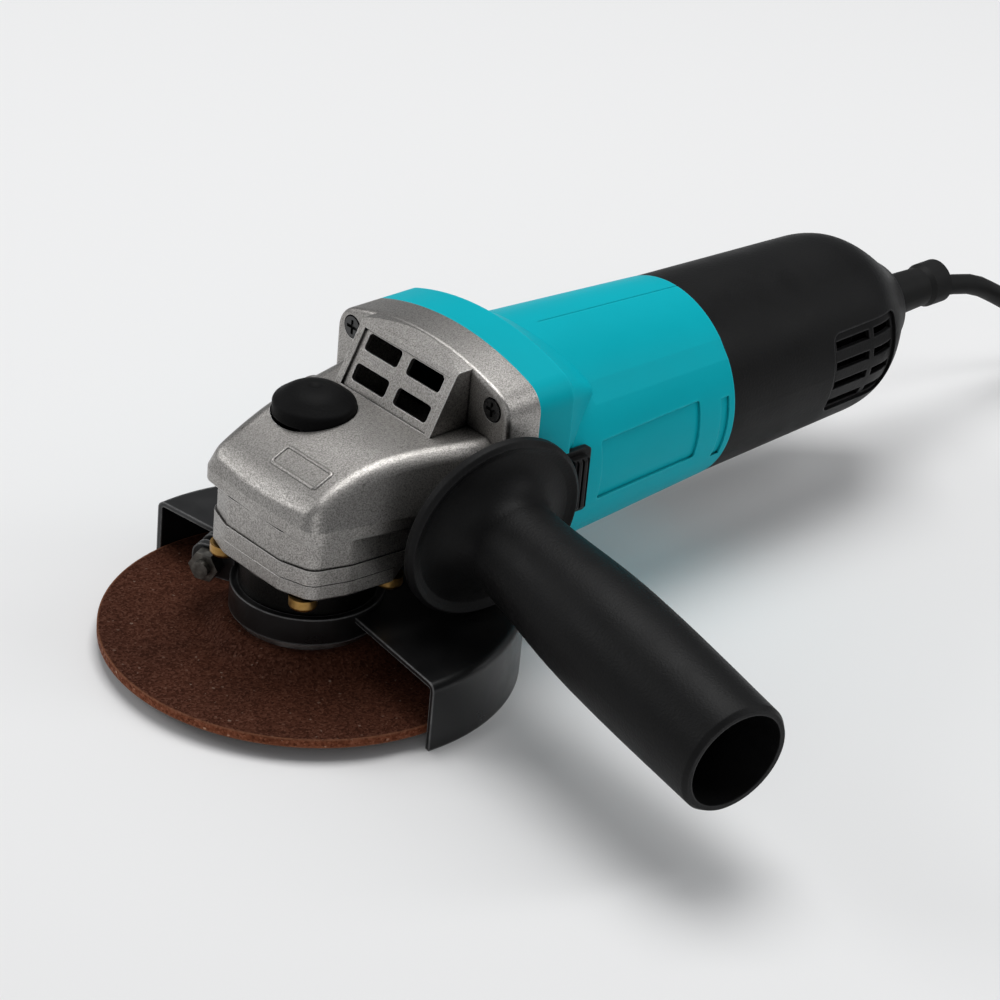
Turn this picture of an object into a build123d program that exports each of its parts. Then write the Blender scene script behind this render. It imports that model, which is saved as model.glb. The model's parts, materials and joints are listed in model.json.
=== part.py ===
from build123d import *
import math
import os

# Corded angle grinder for 115 mm wheels.
# Everything is drawn in the tool frame, in millimetres: the motor axis is X, the spindle axis is Z,
# they cross at zero, X points to the front and Y to the operator's left.
# On export every piece is moved so that the tool stands on Z = 0 with its box centred on X and Y.

# grinding wheel, type 27, and the clamping set
WHEEL_R = 57.5
WHEEL_T = 2.5
WHEEL_BORE_R = 11.115
WHEEL_RISE = 4.5
WHEEL_HUB_R = 23.0
WHEEL_SLOPE = 6.0
WHEEL_BACK = 0.7
WHEEL_ROUND = 8.0
RIM_TOP = -41.2
HUB_TOP = RIM_TOP + WHEEL_RISE
HUB_BOTTOM = HUB_TOP - WHEEL_T
THREAD_R = 7.0
SEAT_GAP = 0.035
INNER_FLANGE_R = 19.5
INNER_FLANGE_T = 2.4
INNER_BOSS_R = 10.0
LOCK_NUT_R = 19.5
LOCK_NUT_T = 3.2
LOCK_NUT_HUB_R = 12.0
LOCK_NUT_HUB = 3.0
SPANNER_PCD = 30.0
SPANNER_HOLE_R = 2.5

# clearances
RUN_GAP = 0.04
SLIDE_GAP = 0.3
WHEEL_GAP = 1.5

# wheel guard
SHEET = 1.5
GUARD_R = WHEEL_R + WHEEL_GAP + SHEET
PLATE_TOP = -27.2
SKIRT_BOTTOM = -47.7
GUARD_BEND = 2.4
GUARD_FRONT = 5.9
GUARD_ROOT = 0.5
COLLAR_TOP = -26.0
COLLAR_BOTTOM = -34.0
COLLAR_T = 2.0
COLLAR_LAP = 0.3
EAR_ANGLE = -66.0
EAR_T = 2.6
EAR_SPLIT = 3.0
EAR_R = 34.0
EAR_TOP = -22.0
EAR_BOTTOM = -31.5
CLAMP_SCREW_R = 2.5
CLAMP_SCREW_AT = 28.5
CLAMP_SCREW_Z = -27.0
CLAMP_SCREW_PROUD = 2.0
CLAMP_HEAD = 3.5
CLAMP_HEAD_R = 4.5
CLAMP_NUT_R = 4.6
CLAMP_NUT_T = 4.0
SCREW_SLOT = 0.6

# bearing box under the gear housing
BOX_TOP = -12.0
BOX_BOTTOM = -17.0
NECK_R = 19.3
NECK_BOTTOM = -33.0
NECK_HOLE_R = 10.5
BOX_SCREW_R = 1.8
BOX_SCREW_HEAD_R = 4.0
BOX_SCREW_HEAD = 3.5
BOX_SCREW_DEPTH = 8.0
BOX_SCREWS = [(16.2, 17.2), (16.2, -17.2), (-11.0, 20.9), (-11.0, -20.9)]

# spindle and its bearings
SPINDLE_TOP = 14.5
SPINDLE_TOP_R = 4.0
GEAR_SEAT_R = 5.0
SPINDLE_BEARING_R = 6.0
SPINDLE_SHOULDER_R = 8.5
SPINDLE_SHOULDER_BOTTOM = -32.0
SPINDLE_TIP = -45.8
SPINDLE_BEARING_OUT_R = 16.0
SPINDLE_BEARING_W = 10.0
SPINDLE_BEARING_TOP = -13.0
BUSH_OUT_R = 6.0
BUSH_LOW = 8.2
BUSH_HIGH = 14.9

# bevel gears, apex where the axes cross
GEAR_TEETH = 37
PINION_TEETH = 11
GEAR_PITCH_R = 17.2
FACE_WIDTH = 4.0
ADDENDUM = 0.72
DEDENDUM = 1.1
TOOTH_TIP_W = 0.5
TOOTH_PITCH_W = 1.05
TOOTH_ROOT_W = 1.6
GEAR_BOTTOM = -10.8
GEAR_WEB_TOP = -5.0
GEAR_HUB_R = 7.6
GEAR_HUB_TOP = -2.4
LOCK_HOLES = 6
LOCK_HOLE_R = 2.3
PINION_BORE_R = 2.7
CLIP_T = 0.9

# spindle lock
BUTTON_X = -8.3
BUTTON_Y = -11.6
BUTTON_R = 11.7
BUTTON_LOW = 19.0
BUTTON_HIGH = 27.0
BUTTON_EDGE = 22.6
BUTTON_CROWN_R = 6.0
BUTTON_CROWN_ROUND = 10.0
BUTTON_EDGE_ROUND = 1.6
DIMPLE_R = 4.5
DIMPLE_D = 0.5
BUTTON_TRAVEL = 4.0
BUTTON_POCKET = BUTTON_LOW - BUTTON_TRAVEL - 0.2
LOCK_PIN_R = 2.0
LOCK_PIN_AT = 10.2
LOCK_PIN_TIP = GEAR_WEB_TOP + 1.2
LOCK_SPRING_R = 3.6
LOCK_SPRING_WIRE = 0.35
LOCK_SPRING_SEAT = 11.5
LOCK_SPRING_FREE = 1.0
LOCK_SPRING_POCKET = 2.5
LOCK_PIN_GRIP = 5.0

# gear housing
HEAD_FRONT = 21.2
HEAD_SIDE_FRONT = 23.8
HEAD_BOW = 1.2
HEAD_CORNER = 6.0
HEAD_RIDGE = -7.5
HEAD_LEDGE = 0.5
HEAD_GROOVE = 1.2
GROOVE_H = 0.9
GROOVE_D = 0.8
HEAD_CREASE = 5.6
DOME_RISE = 20.0
DOME_LEAN = 6.5
DOME_ROUND = 5.0
LOWER_PLAN = [(20.9, 11.8), (17.6, 21.6), (6.6, 24.7)]
LOWER_REAR = 28.0
LOWER_CORNER = 5.0
BOX_PLAN_REAR = [(-8.0, 25.8), (-16.7, 20.5)]
BOX_EDGE = 0.8
CHAMBER_R = 18.6
CHAMBER_TOP = 8.0
CHAMBER_HALF = 15.0
CHAMBER_REAR = -33.0
FLANGE_FRONT = -36.5
FLANGE_JOINT = -48.0
FLANGE_REAR = -60.5
FLANGE_HALF = 36.0
FLANGE_TOP = 40.5
FLANGE_CORNER = 33.0
FLANGE_BOTTOM = -25.0
FLANGE_ROUND = 8.0
FLANGE_WALL = 4.0
VENT_HALF = 20.0
VENT_LOW = (-22.0, 19.7)
VENT_HIGH = (-31.0, 37.6)
VENT_WALL = 2.2
PANEL_HALF = 17.8
PANEL_D = 0.8
PANEL_FRAME = 1.5
WINDOW_IN = 1.8
WINDOW_OUT = 15.7
WINDOW_H = 5.1
WINDOW_ROUND = 1.2
WINDOW_ROWS = (25.4, 33.45)
DUCT_HALF = 17.0
DUCT_FLOOR = 13.0
BEARING_WALL_REAR = -46.5
HOUSING_SCREW_R = 2.0
HOUSING_SCREW_HEAD_R = 3.2
HOUSING_SCREW_HEAD = 2.4
HOUSING_SCREW_SINK = 2.2
HOUSING_SCREW_FREE = 0.4
HOUSING_BOSS_R = 3.6
HOUSING_SCREW_END = -59.0
HOUSING_SCREWS = [(29.4, 29.8), (-29.4, 29.8), (29.0, -17.5), (-29.0, -17.5)]

# side handle on its slanted boss
HANDLE_AT = (-28.9, 40.0, 1.7)
HANDLE_END = (-17.5, 148.0, -11.7)
HANDLE_FLANGE_R = 28.0
HANDLE_END_R = 16.3
HANDLE_BORE_R = 14.0
HANDLE_SEAT = -2.0
BOSS_R = 10.0
STUD_R = 4.0
STUD_DEPTH = 14.0
STUD_GRIP = 16.0

# motor housing
BODY_FRONT_R = 35.1
BODY_REAR_R = 30.6
SEAM = -132.5
CAVITY_FRONT = -64.0
CAVITY_R = 30.2
CAVITY_FLOOR = -21.5
FIELD_BORE_START = -79.0
FIELD_BORE_R = 28.2
FIELD_BORE_END = -128.5
SPIGOT_R = 27.7
SPIGOT_IN_R = 25.4
SPIGOT_END = -150.0
END_WALL = 3.0
SIDE_PANEL = (-117.5, -76.5, -8.6, 9.6)
SIDE_PANEL_ROUND = 1.0
SIDE_PANEL_D = 0.8
SIDE_STRIP = (-130.0, -126.5, -12.0, 7.5)
FLARE_L = 17.0
FLARE_IN = 10.0
FLARE_STEP = 0.6
FACET = (45.0, 56.0)
FACET_START = -77.0
MOULD_LINE_AT = 4.0
MOULD_LINE_W = 0.6
MOULD_LINE_D = 0.12

# motor
SHAFT_R = 4.0
SHAFT_TIP = -12.4
PINION_BACK = -22.0
FRONT_BEARING = (-46.5, -39.5)
FRONT_BEARING_R = 11.0
REAR_BEARING = (-158.0, -152.0)
REAR_BEARING_R = 9.5
REAR_SHAFT_R = 3.5
SHAFT_END = -159.0
FAN = (-75.5, -65.0)
FAN_R = 24.0
FAN_BLADES = 11
CORE = (-121.0, -87.0)
CORE_R = 17.0
CORE_SLOTS = 12
WINDING_R = 15.5
WINDING_L = 7.0
COMMUTATOR = (-147.0, -133.0)
COMMUTATOR_R = 11.0
COMMUTATOR_BARS = 24
BAR_GAP = 0.4
BAR_GAP_D = 0.8
AIR_GAP = 0.6
FIELD_R = 27.9
FIELD_FLAT = 25.0
COIL_IN = 17.9
COIL_OUT = 21.2
BAFFLE = (-78.6, -77.0)

# brushes, above and below the commutator
BRUSH_X = -140.0
BRUSH_HALF_X = 4.5
BRUSH_HALF_Y = 3.0
BRUSH_LOW = COMMUTATOR_R + 0.1
BRUSH_HIGH = 20.0
BRUSH_WALL = 1.0
BRUSH_SLIDE = 0.15
HOLDER_LOW = 13.5
HOLDER_HIGH = 25.4
HOLDER_CAP = 1.2
BRUSH_SPRING_R = 2.2
BRUSH_SPRING_WIRE = 0.3

# slide switch
KNOB = (-70.0, -60.0)
KNOB_LOW = -8.5
KNOB_HIGH = 11.5
KNOB_SEAT = 33.4
KNOB_TRAVEL = 6.0
KNOB_GAP = 0.8
KNOB_H = 4.4
KNOB_RIM = 2.0
KNOB_RIBS = 3
KNOB_RIB_PITCH = 2.0
KNOB_RIB_W = 0.8
POCKET_FLOOR = 33.0
ROD_IN = 25.6
ROD_OUT = 27.2
ROD_LOW = -2.0
ROD_HIGH = 4.0
ROD_END = -164.0
ROD_FREE = 0.4
STEM = (-68.0, -64.0)
SWITCH = (-177.0, -153.0)
SWITCH_IN = 13.5
SWITCH_OUT = 24.6

# rear cover
COVER_R = 30.5
COVER_WALL = 2.5
COVER_REAR_R = 28.2
COVER_ROUND_START = -195.0
COVER_END = -226.5
COVER_END_R = 11.0
COVER_CURVE = [(-204.5, 26.6), (-212.5, 22.3), (-218.5, 17.8), (-223.5, 14.2)]
COVER_FIT = 0.3
COVER_SCREW_X = -148.0
COVER_SCREW_R = 1.6
COVER_SCREW_NECK_R = 2.1
COVER_SCREW_HEAD_R = 3.4
COVER_SCREW_SEAT = -29.2
COVER_SCREW_TIP = -19.0
VENT_COLUMNS = [(-193.6, -178.6), (-205.0, -195.6)]
VENT_ROWS = [8.4, 2.1, -4.3, -11.0]
VENT_SLOT_H = 2.8
VENT_RECESS = (-207.0, -176.8, -13.6, 12.4)
VENT_RECESS_D = 1.0

# cord, strain relief, coil and plug
CORD_R = 3.25
RELIEF_END = -255.5
RELIEF_R = 6.8
RELIEF_WAIST_R = 6.1
RELIEF_RIB_R = 6.9
RELIEF_RIB_W = 8.5
RELIEF_EDGE = 1.8
RELIEF_HEAD_R = 9.0
RELIEF_HEAD = 3.5
CORD_IN = -208.0
ARC_SHARE = 0.45
RELIEF_MOUTH_R = 4.6
RELIEF_MOUTH = 14.0
CLAMP_X = (-215.0, -206.0)
CLAMP_HALF = 9.0
CLAMP_T = 3.2
CLAMP_SCREW_Y = 6.2
COIL_X = -352.0
COIL_Y = 48.0
COIL_R = 36.0
COIL_TUBE_R = 10.0
CORD_TURN = 6.5
TIE_RISE = 0.5
TIE_W = 6.0
TIE_T = 1.0
PLUG_HALF_W = 18.0
PLUG_HALF_H = 13.0
PLUG_L = 18.0
PLUG_NECK = 20.0
PLUG_TAIL = 12.0
PLUG_TAIL_W = 11.0
PLUG_TAIL_H = 9.0
PIN_R = 2.4
PIN_L = 19.0
PIN_PITCH = 19.0

# the frame: floor under the guard, box centred
HANDLE_AXIS = (Vector(*HANDLE_END) - Vector(*HANDLE_AT)).normalized()
HANDLE_L = (Vector(*HANDLE_END) - Vector(*HANDLE_AT)).length
HANDLE_REACH = HANDLE_END[1] + HANDLE_END_R * math.sqrt(1 - HANDLE_AXIS.Y**2)
SHIFT = Pos(-(WHEEL_R + RELIEF_END) / 2, -(HANDLE_REACH - GUARD_R) / 2, -SKIRT_BOTTOM)


def rod_z(r, low, high, x=0, y=0):
    """A cylinder along Z."""
    return Pos(x, y, (low + high) / 2) * Cylinder(r, high - low)


def rod_x(r, low, high, y=0, z=0):
    """A cylinder along X."""
    return Pos((low + high) / 2, y, z) * Rot(0, 90, 0) * Cylinder(r, high - low)


def block(x0, x1, y0, y1, z0, z1):
    """A box from its limits."""
    return Pos((x0 + x1) / 2, (y0 + y1) / 2, (z0 + z1) / 2) * Box(x1 - x0, y1 - y0, z1 - z0)


def turned_z(points):
    """A solid of revolution about Z from (radius, z) points."""
    return revolve(make_face(Plane.XZ * Polyline(*points, close=True)), Axis.Z)


def turned_x(points):
    """A solid of revolution about X from (x, radius) points."""
    return revolve(make_face(Plane.XY * Polyline(*points, close=True)), Axis.X)


def plan_prism(face, low, high):
    """A prism along Z from a face on the XY plane."""
    return Pos(0, 0, low) * extrude(face, high - low)


def cross_prism(face, low, high):
    """A prism along X from a face whose local axes are Y and Z."""
    return extrude(Plane.YZ.offset(low) * face, high - low)


def side_prism(points, half):
    """A prism along Y, symmetric, from (x, z) points."""
    return extrude(make_face(Plane.XZ * Polyline(*points, close=True)), half, both=True)


def spring_z(radius, wire, low, high, turns, x=0, y=0):
    """A coil spring along Z, its wire inside the limits."""
    height = high - low - 2 * wire
    path = Helix(height / turns, height, radius)
    start = Plane(origin=path @ 0, z_dir=path % 0)
    return Pos(x, y, low + wire) * sweep(start * Circle(wire), path)


def cord_route(points):
    """Straight runs joined by tangent arcs, each arc as large as its two runs allow."""
    places = [Vector(*p) for p in points]
    edges = []
    here = places[0]
    for before, corner, after in zip(places, places[1:], places[2:]):
        reach = ARC_SHARE * min((corner - before).length, (after - corner).length)
        come = (corner - before).normalized()
        go = (after - corner).normalized()
        half = math.radians(come.get_angle(go)) / 2
        radius = reach / math.tan(half)
        first = corner - come * reach
        last = corner + go * reach
        middle = corner + (go - come).normalized() * (radius / math.cos(half) - radius)
        edges += [Line(here, first), ThreePointArc(first, middle, last)]
        here = last
        print("cord bend radius", round(radius, 1))
    edges.append(Line(here, places[-1]))
    return Wire(edges)


def save(name, *solids):
    """Write one piece, moved to the frame, as its own file."""
    placed = [SHIFT * s for shape in solids for s in shape.solids()]
    for s in placed:
        s.label = name
    whole = placed[0] if len(placed) == 1 else Compound(children=placed)
    whole.label = name
    export_step(whole, os.path.join("parts", name + ".step"))


os.makedirs("parts", exist_ok=True)


# outlines shared by the pieces that meet
def head_outline(inset=0):
    """The head's plan: a bowed front and sides that widen to the rear."""
    front = HEAD_FRONT - inset
    side = HEAD_SIDE_FRONT - inset
    rear = FLANGE_HALF - inset
    nose = ThreePointArc((front - HEAD_BOW, -side), (front, 0), (front - HEAD_BOW, side))
    rest = Polyline(nose @ 1, (FLANGE_FRONT, rear), (FLANGE_FRONT, -rear), nose @ 0)
    face = make_face(nose + rest)
    return fillet([v for v in face.vertices() if v.X > 0], HEAD_CORNER)


def flange_outline(inset=0):
    """The flange of the head and of the motor housing, seen from the front."""
    half = FLANGE_HALF - inset
    corner = FLANGE_CORNER - inset
    crown = ThreePointArc((-half, corner), (0, FLANGE_TOP - inset), (half, corner))
    rest = Polyline(crown @ 1, (half, FLANGE_BOTTOM + inset), (-half, FLANGE_BOTTOM + inset), crown @ 0)
    face = make_face(crown + rest)
    return fillet(face.vertices(), FLANGE_ROUND - inset / 2)


def lower_outline(rear, inset=0):
    """The plan below the groove, closed at the rear by the given points."""
    points = [(x - inset, y - inset) for x, y in LOWER_PLAN] + [(x, y - inset) for x, y in rear]
    back = [(x, -y) for x, y in reversed(points)]
    face = make_face(Polyline(*points, *back, close=True))
    return fillet([v for v in face.vertices() if v.X > LOWER_PLAN[-1][0] - 1], LOWER_CORNER)


def handle_place(side):
    """Local frame of a handle boss: Z runs out along the handle, side is 1 for left and -1 for right."""
    axis = Vector(HANDLE_AXIS.X, HANDLE_AXIS.Y * side, HANDLE_AXIS.Z)
    at = Vector(HANDLE_AT[0], HANDLE_AT[1] * side, HANDLE_AT[2])
    return Plane(origin=at, x_dir=(1, 0, 0), z_dir=axis).location


# gear housing
dome_points = [(24.0, 3.2), (20.2, 8.6), (16.0, 12.4), (11.0, 15.2), (5.0, 17.6), (0.0, 19.1), (-8.0, 20.4),
               (-22.0, 20.8), (FLANGE_FRONT, 20.9)]
dome_line = Spline(*dome_points)
dome_rest = Polyline(dome_line @ 1, (FLANGE_FRONT, BOX_TOP), (dome_points[0][0], BOX_TOP), dome_line @ 0)
dome_side = extrude(make_face(Plane.XZ * (dome_line + dome_rest)), FLANGE_HALF + 5, both=True)
dome_high = Pos(0, 0, HEAD_CREASE + DOME_RISE) * head_outline(DOME_LEAN)
dome = loft([Pos(0, 0, HEAD_CREASE) * head_outline(), dome_high], ruled=True) & dome_side
shoulders = [e for e in dome.edges() if e.center().Z > HEAD_CREASE + 1.5 and e.center().X > FLANGE_FRONT + 1]
head = fillet(shoulders, DOME_ROUND)
head += plan_prism(head_outline(), HEAD_GROOVE + GROOVE_H, HEAD_CREASE)
head += plan_prism(head_outline(GROOVE_D), HEAD_GROOVE, HEAD_GROOVE + GROOVE_H)
lower_rear = [(-16.0, 26.4), (FLANGE_FRONT, LOWER_REAR)]
head += plan_prism(lower_outline(lower_rear, HEAD_LEDGE), HEAD_RIDGE, HEAD_GROOVE)
head += plan_prism(lower_outline(lower_rear), BOX_TOP, HEAD_RIDGE)
flange = cross_prism(flange_outline(), FLANGE_JOINT, FLANGE_FRONT + 0.5)
flange = fillet(flange.faces().sort_by(Axis.X)[-1].edges(), 1.5)
wedge = side_prism([(VENT_LOW[0] + 0.5, VENT_LOW[1] - 2), VENT_LOW, VENT_HIGH, (FLANGE_FRONT, FLANGE_TOP),
                    (FLANGE_FRONT - 3, FLANGE_TOP), (FLANGE_FRONT - 3, VENT_LOW[1] - 2)], VENT_HALF)
wedge &= cross_prism(flange_outline(0.2), FLANGE_JOINT, 0)
gear_housing = head + flange + wedge
for side in (1, -1):
    gear_housing += handle_place(side) * rod_z(BOSS_R, HANDLE_SEAT - 12, HANDLE_SEAT)

lean = math.degrees(math.atan2(VENT_LOW[0] - VENT_HIGH[0], VENT_HIGH[1] - VENT_LOW[1]))
out_x = math.cos(math.radians(lean))
out_z = math.sin(math.radians(lean))
slope = (VENT_HIGH[0] - VENT_LOW[0]) / (VENT_HIGH[1] - VENT_LOW[1])
for row in WINDOW_ROWS:
    row_x = VENT_LOW[0] + (row - VENT_LOW[1]) * slope
    for side in (1, -1):
        middle = side * (WINDOW_IN + WINDOW_OUT) / 2
        window = fillet(Box(10, WINDOW_OUT - WINDOW_IN, WINDOW_H).edges().filter_by(Axis.X), WINDOW_ROUND)
        gear_housing -= Pos(row_x, middle, row) * Rot(0, -lean, 0) * window
panel_mid = ((VENT_LOW[0] + VENT_HIGH[0]) / 2, (VENT_LOW[1] + VENT_HIGH[1]) / 2)
panel_l = math.dist(VENT_LOW, VENT_HIGH) - 2 * PANEL_FRAME
panel_box = Box(2 * PANEL_D, 2 * PANEL_HALF, panel_l)
gear_housing -= Pos(panel_mid[0], 0, panel_mid[1]) * Rot(0, -lean, 0) * panel_box
duct_front_low = (VENT_LOW[0] - VENT_WALL * out_x, VENT_LOW[1] - VENT_WALL * out_z)
duct_front_high = (VENT_HIGH[0] - VENT_WALL * out_x, VENT_HIGH[1] - VENT_WALL * out_z)
gear_housing -= side_prism([duct_front_low, (duct_front_high[0], FLANGE_TOP - FLANGE_WALL),
                            (FLANGE_JOINT - 1, FLANGE_TOP - FLANGE_WALL), (FLANGE_JOINT - 1, DUCT_FLOOR),
                            (FLANGE_JOINT + 8, DUCT_FLOOR)], DUCT_HALF)
gear_housing -= cross_prism(flange_outline(FLANGE_WALL), FLANGE_JOINT - 1, BEARING_WALL_REAR + 3) - rod_x(
    FRONT_BEARING_R + 3.5, FLANGE_JOINT - 2, 0)
for y, z in HOUSING_SCREWS:
    gear_housing += rod_x(HOUSING_BOSS_R, FLANGE_JOINT, FLANGE_FRONT - 2, y, z)
gear_housing -= block(FLANGE_JOINT - 2, BEARING_WALL_REAR, -16, 16, -16, 16)
gear_housing -= rod_z(CHAMBER_R, BOX_TOP - 1, CHAMBER_TOP)
gear_housing -= block(CHAMBER_REAR, 0, -CHAMBER_HALF, CHAMBER_HALF, BOX_TOP + 3, CHAMBER_TOP)
gear_housing -= rod_x(FRONT_BEARING_R, *FRONT_BEARING)
gear_housing -= rod_x(FRONT_BEARING_R - 3, FRONT_BEARING[1] - 1, CHAMBER_REAR + 1)
gear_housing -= rod_z(BUSH_OUT_R, CHAMBER_TOP - 1, BUSH_HIGH)
gear_housing -= rod_z(BUTTON_R + SLIDE_GAP, BUTTON_POCKET, 30, BUTTON_X, BUTTON_Y)
pin_turn = math.atan2(BUTTON_Y, BUTTON_X)
pin_x = LOCK_PIN_AT * math.cos(pin_turn)
pin_y = LOCK_PIN_AT * math.sin(pin_turn)
gear_housing -= rod_z(LOCK_PIN_R + RUN_GAP, 0, BUTTON_POCKET + 1, pin_x, pin_y)
gear_housing -= rod_z(LOCK_SPRING_R + LOCK_SPRING_FREE, LOCK_SPRING_SEAT, BUTTON_POCKET + 1, pin_x, pin_y)
for side in (1, -1):
    gear_housing -= handle_place(side) * rod_z(STUD_R, HANDLE_SEAT - STUD_DEPTH, HANDLE_SEAT + 2)
for x, y in BOX_SCREWS:
    gear_housing -= rod_z(BOX_SCREW_R, BOX_TOP - 1, BOX_TOP + BOX_SCREW_DEPTH, x, y)
for y, z in HOUSING_SCREWS:
    gear_housing -= rod_x(HOUSING_SCREW_R, FLANGE_JOINT - 1, FLANGE_FRONT + 1, y, z)
head_x = FLANGE_FRONT + 0.5 - HOUSING_SCREW_SINK
for y, z in HOUSING_SCREWS:
    gear_housing -= rod_x(HOUSING_SCREW_HEAD_R + HOUSING_SCREW_FREE, head_x, FLANGE_FRONT + 5, y, z)
save("gear_housing", gear_housing)

housing_screws = []
for y, z in HOUSING_SCREWS:
    screw = rod_x(HOUSING_SCREW_R, HOUSING_SCREW_END, head_x + 1, y, z)
    screw += rod_x(HOUSING_SCREW_HEAD_R, head_x, head_x + HOUSING_SCREW_HEAD, y, z)
    screw -= block(head_x + HOUSING_SCREW_HEAD - 1, head_x + 5, y - 2.2, y + 2.2, z - 0.5, z + 0.5)
    screw -= block(head_x + HOUSING_SCREW_HEAD - 1, head_x + 5, y - 0.5, y + 0.5, z - 2.2, z + 2.2)
    housing_screws.append(screw)
save("housing_screws", *housing_screws)

# bearing box, its screws and the parts in it
bearing_box = plan_prism(lower_outline(BOX_PLAN_REAR), BOX_BOTTOM, BOX_TOP)
bearing_box = chamfer(bearing_box.faces().sort_by(Axis.Z)[0].edges(), BOX_EDGE)
bearing_box = chamfer(bearing_box.faces().sort_by(Axis.Z)[-1].edges(), BOX_EDGE / 2)
bearing_box += rod_z(NECK_R, NECK_BOTTOM, BOX_BOTTOM + 1)
bearing_box -= rod_z(SPINDLE_BEARING_OUT_R, SPINDLE_BEARING_TOP - SPINDLE_BEARING_W, BOX_TOP + 1)
bearing_box -= rod_z(NECK_HOLE_R, NECK_BOTTOM - 1, BOX_TOP)
for x, y in BOX_SCREWS:
    bearing_box -= rod_z(BOX_SCREW_R, BOX_BOTTOM - 1, BOX_TOP + 1, x, y)
save("bearing_box", bearing_box)

box_screws = []
for x, y in BOX_SCREWS:
    screw = rod_z(BOX_SCREW_R, BOX_BOTTOM - 1, BOX_TOP + BOX_SCREW_DEPTH, x, y)
    cap = rod_z(BOX_SCREW_HEAD_R, BOX_BOTTOM - BOX_SCREW_HEAD, BOX_BOTTOM, x, y)
    cap = fillet(cap.edges().sort_by(Axis.Z)[0], 1.2)
    screw += cap
    screw -= block(x - 2.4, x + 2.4, y - 0.6, y + 0.6, BOX_BOTTOM - 5, BOX_BOTTOM - BOX_SCREW_HEAD + 1.4)
    screw -= block(x - 0.6, x + 0.6, y - 2.4, y + 2.4, BOX_BOTTOM - 5, BOX_BOTTOM - BOX_SCREW_HEAD + 1.4)
    box_screws.append(screw)
save("bearing_box_screws", *box_screws)

bearing_low = SPINDLE_BEARING_TOP - SPINDLE_BEARING_W
ring_split = (SPINDLE_BEARING_R + SPINDLE_BEARING_OUT_R) / 2
save("spindle_bearing_outer", rod_z(SPINDLE_BEARING_OUT_R, bearing_low, SPINDLE_BEARING_TOP)
     - rod_z(ring_split, bearing_low - 1, SPINDLE_BEARING_TOP + 1))
save("spindle_bearing_inner", rod_z(ring_split - RUN_GAP, bearing_low, SPINDLE_BEARING_TOP)
     - rod_z(SPINDLE_BEARING_R, bearing_low - 1, SPINDLE_BEARING_TOP + 1))
save("bearing_retainer", rod_z(SPINDLE_BEARING_OUT_R, SPINDLE_BEARING_TOP, BOX_TOP)
     - rod_z(ring_split + 2, SPINDLE_BEARING_TOP - 1, BOX_TOP + 1))
save("top_bush", rod_z(BUSH_OUT_R, BUSH_LOW, BUSH_HIGH)
     - rod_z(SPINDLE_TOP_R + RUN_GAP, BUSH_LOW - 1, BUSH_HIGH + 1))

# spindle group
spindle = rod_z(SPINDLE_TOP_R, BUSH_LOW - 2, SPINDLE_TOP) + rod_z(GEAR_SEAT_R, GEAR_BOTTOM, BUSH_LOW - 1)
spindle += rod_z(SPINDLE_BEARING_R, bearing_low, GEAR_BOTTOM)
spindle += rod_z(SPINDLE_SHOULDER_R, SPINDLE_SHOULDER_BOTTOM, bearing_low)
spindle += rod_z(THREAD_R, SPINDLE_TIP, SPINDLE_SHOULDER_BOTTOM)
spindle = chamfer(spindle.edges().sort_by(Axis.Z)[0], 1.0)
spindle = chamfer(spindle.edges().sort_by(Axis.Z)[-1], 0.5)
save("spindle", spindle)


def bevel_tooth(cone, length, turn):
    """One straight bevel tooth on a cone about +Z with its tip at zero."""
    c = math.cos(math.radians(turn))
    s = math.sin(math.radians(turn))
    line = Vector(math.sin(cone) * c, math.sin(cone) * s, math.cos(cone))
    out = Vector(math.cos(cone) * c, math.cos(cone) * s, -math.sin(cone))
    across = Vector(-s, c, 0)
    ends = []
    for scale in (1.0, (length - FACE_WIDTH) / length):
        corners = []
        for w, h in ((-TOOTH_ROOT_W, -DEDENDUM - 0.3), (-TOOTH_PITCH_W, 0), (-TOOTH_TIP_W, ADDENDUM),
                     (TOOTH_TIP_W, ADDENDUM), (TOOTH_PITCH_W, 0), (TOOTH_ROOT_W, -DEDENDUM - 0.3)):
            corners.append((line * length + out * h + across * (w / 2)) * scale)
        ends.append(make_face(Polyline(*corners, close=True)))
    return loft(ends, ruled=True)


GEAR_CONE = math.atan2(GEAR_TEETH, PINION_TEETH)
PINION_CONE = math.atan2(PINION_TEETH, GEAR_TEETH)
CONE_L = GEAR_PITCH_R / math.sin(GEAR_CONE)


def cone_blank(cone, depth):
    """Points (radius, axial) of the root line at the outer and inner ends, axial from the tip of the cone."""
    ends = []
    for scale in (1.0, (CONE_L - FACE_WIDTH) / CONE_L):
        radius = (CONE_L * math.sin(cone) - depth * math.cos(cone)) * scale
        axial = (CONE_L * math.cos(cone) + depth * math.sin(cone)) * scale
        ends.append((radius, axial))
    return ends


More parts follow.
